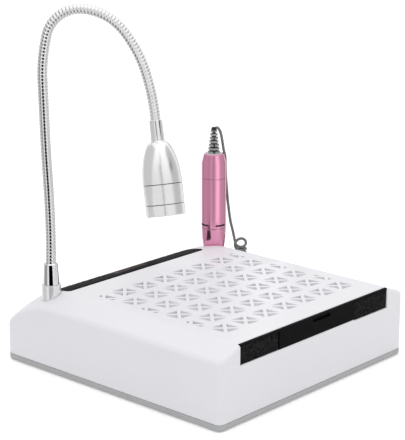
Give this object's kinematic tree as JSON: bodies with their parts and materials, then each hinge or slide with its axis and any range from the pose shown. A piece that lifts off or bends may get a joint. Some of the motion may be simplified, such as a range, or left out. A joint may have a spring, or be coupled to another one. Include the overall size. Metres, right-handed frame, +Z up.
{
  "type": "nail dust collector",
  "caption": "Low white table-top dust collector with a pierced intake top, filter drawer, gooseneck lamp and a drill handpiece standing in its holder.",
  "frame": {"origin": "centre of the rectangular footprint, on the table", "axes": "+Z up, +Y from the filter drawer towards the control console, +X to the side that holds the handpiece"},
  "size_m": [0.2968, 0.2932, 0.3617],
  "materials": {
    "white_shell": "moulded, satin gloss",
    "grey_base": "fine moulded grain",
    "rubber": "matt",
    "zinc_screw": "plated",
    "inner_plastic": "plain moulded",
    "black_plastic": "fine grain",
    "grip_texture": "coarse spark texture",
    "filter_paper": "pleated fibre",
    "white_screen": "plain moulded",
    "motor_can": "plain",
    "console_gloss": "polished",
    "display_red": "tinted, polished",
    "key_grey": "silky",
    "board_green": "lacquered",
    "switch_metal": "plain",
    "socket_white": "satin",
    "chrome": "polished",
    "hose_steel": "wound ribs, polished",
    "lamp_aluminium": "satin turned",
    "lens_clear": "frosted",
    "reflector": "vacuum metallised",
    "led_ceramic": "plain",
    "pink_anodised": "anodised, polished",
    "nose_steel": "turned",
    "cord_grey": "matt"
  },
  "bodies": {
    "housing": {"top_casing": "white_shell", "base_plate": "grey_base", "rubber_feet": "rubber", "base_screws": "zinc_screw", "suction_deck": "inner_plastic", "runner_left": "inner_plastic", "runner_right": "inner_plastic", "blower_housing_left": "inner_plastic", "blower_housing_right": "inner_plastic", "fan_motors": "motor_can", "console_panel": "console_gloss", "display_window": "display_red", "control_board": "board_green", "board_screws": "zinc_screw", "key_switches": "switch_metal", "power_inlet": "black_plastic", "cord_socket": "black_plastic", "lamp_socket": "socket_white", "handpiece_cup": "white_shell", "cord_coil": "cord_grey", "cord_plug": "cord_grey"},
    "drawer": {"drawer_front": "black_plastic", "drawer_grips": "grip_texture", "drawer_tray": "black_plastic", "filter_pleats": "filter_paper", "filter_screen": "white_screen"},
    "fan_left": {"impeller_left": "black_plastic"},
    "fan_right": {"impeller_right": "black_plastic"},
    "lamp_foot": {"lamp_collar": "chrome", "hose_section_1": "hose_steel"},
    "hose_2": {"hose_section_2": "hose_steel"},
    "hose_3": {"hose_section_3": "hose_steel"},
    "hose_4": {"hose_section_4": "hose_steel"},
    "hose_5": {"hose_section_5": "hose_steel"},
    "hose_6": {"hose_section_6": "hose_steel"},
    "hose_7": {"hose_section_7": "hose_steel"},
    "hose_8": {"hose_section_8": "hose_steel"},
    "hose_9": {"hose_section_9": "hose_steel"},
    "lamp_head": {"head_collar": "chrome", "head_dome": "lamp_aluminium", "head_barrel": "lamp_aluminium", "head_bezel": "lamp_aluminium", "head_lens": "lens_clear", "head_reflector": "reflector", "led_board": "led_ceramic"},
    "handpiece": {"handpiece_barrel": "pink_anodised", "handpiece_cap": "pink_anodised", "handpiece_nose": "nose_steel", "handpiece_motor": "motor_can", "handpiece_bearings": "nose_steel", "strain_relief": "cord_grey", "handpiece_cord": "cord_grey"},
    "grip": {"handpiece_grip": "pink_anodised"},
    "spindle": {"handpiece_spindle": "nose_steel"},
    "key_fan": {"key_fan": "key_grey"},
    "key_lamp": {"key_lamp": "key_grey"},
    "key_drill": {"key_drill": "key_grey"},
    "key_slower": {"key_slower": "key_grey"},
    "key_faster": {"key_faster": "key_grey"},
    "key_direction": {"key_direction": "key_grey"}
  },
  "joints": [
    {"name": "drawer_slide", "type": "slide", "parent": "housing", "child": "drawer", "axis": [0, -1, 0], "range_m": [0, 0.18]},
    {"name": "fan_left_spin", "type": "hinge", "parent": "housing", "child": "fan_left", "pos_m": [-0.057, -0.032, 0.03], "axis": [0, 0, 1], "continuous": true},
    {"name": "fan_right_spin", "type": "hinge", "parent": "housing", "child": "fan_right", "pos_m": [0.057, -0.032, 0.03], "axis": [0, 0, 1], "continuous": true},
    {"name": "lamp_swivel", "type": "hinge", "parent": "housing", "child": "lamp_foot", "pos_m": [-0.1192, 0.0961, 0.0842], "axis": [0, 0, 1], "range_deg": [-170, 170]},
    {"name": "hose_bend_1", "type": "hinge", "parent": "lamp_foot", "child": "hose_2", "pos_m": [-0.11883, 0.09569, 0.15019], "axis": [-0.7408, -0.6717, 0], "range_deg": [-25, 25]},
    {"name": "hose_bend_2", "type": "hinge", "parent": "hose_2", "child": "hose_3", "pos_m": [-0.11971, 0.09666, 0.19577], "axis": [0.7408, 0.6717, 0], "range_deg": [-25, 25]},
    {"name": "hose_bend_3", "type": "hinge", "parent": "hose_3", "child": "hose_4", "pos_m": [-0.12067, 0.09772, 0.24135], "axis": [-0.7408, -0.6717, 0], "range_deg": [-25, 25]},
    {"name": "hose_bend_4", "type": "hinge", "parent": "hose_4", "child": "hose_5", "pos_m": [-0.12126, 0.09837, 0.28694], "axis": [0.7408, 0.6717, 0], "range_deg": [-25, 25]},
    {"name": "hose_bend_5", "type": "hinge", "parent": "hose_5", "child": "hose_6", "pos_m": [-0.11772, 0.09447, 0.33209], "axis": [-0.7408, -0.6717, 0], "range_deg": [-5, 35]},
    {"name": "hose_bend_6", "type": "hinge", "parent": "hose_6", "child": "hose_7", "pos_m": [-0.09479, 0.06918, 0.35653], "axis": [0.7408, 0.6717, 0], "range_deg": [-35, 5]},
    {"name": "hose_bend_7", "type": "hinge", "parent": "hose_7", "child": "hose_8", "pos_m": [-0.06863, 0.04033, 0.33548], "axis": [-0.7408, -0.6717, 0], "range_deg": [-10, 30]},
    {"name": "hose_bend_8", "type": "hinge", "parent": "hose_8", "child": "hose_9", "pos_m": [-0.05475, 0.02502, 0.29511], "axis": [0.7408, 0.6717, 0], "range_deg": [-25, 20]},
    {"name": "head_tilt", "type": "hinge", "parent": "hose_9", "child": "lamp_head", "pos_m": [-0.04892, 0.01859, 0.25042], "axis": [-0.7408, -0.6717, 0], "range_deg": [-30, 30]},
    {"name": "key_fan_press", "type": "slide", "parent": "housing", "child": "key_fan", "axis": [0, -0.2784, -0.9605], "range_m": [0, 0.0008], "stiffness_N_per_m": 400, "springref_m": -0.001},
    {"name": "key_lamp_press", "type": "slide", "parent": "housing", "child": "key_lamp", "axis": [0, -0.2784, -0.9605], "range_m": [0, 0.0008], "stiffness_N_per_m": 400, "springref_m": -0.001},
    {"name": "key_drill_press", "type": "slide", "parent": "housing", "child": "key_drill", "axis": [0, -0.2784, -0.9605], "range_m": [0, 0.0008], "stiffness_N_per_m": 400, "springref_m": -0.001},
    {"name": "key_slower_press", "type": "slide", "parent": "housing", "child": "key_slower", "axis": [0, -0.2784, -0.9605], "range_m": [0, 0.0008], "stiffness_N_per_m": 400, "springref_m": -0.001},
    {"name": "key_faster_press", "type": "slide", "parent": "housing", "child": "key_faster", "axis": [0, -0.2784, -0.9605], "range_m": [0, 0.0008], "stiffness_N_per_m": 400, "springref_m": -0.001},
    {"name": "key_direction_press", "type": "slide", "parent": "housing", "child": "key_direction", "axis": [0, -0.2784, -0.9605], "range_m": [0, 0.0008], "stiffness_N_per_m": 400, "springref_m": -0.001},
    {"name": "handpiece_lift", "type": "slide", "parent": "housing", "child": "handpiece", "axis": [0, 0, 1], "range_m": [0, 0.13]},
    {"name": "grip_twist", "type": "hinge", "parent": "handpiece", "child": "grip", "pos_m": [0.1205, 0.094, 0.07], "axis": [0, 0, 1], "range_deg": [0, 60]},
    {"name": "spindle_spin", "type": "hinge", "parent": "handpiece", "child": "spindle", "pos_m": [0.1205, 0.094, 0.06], "axis": [0, 0, 1], "continuous": true}
  ]
}
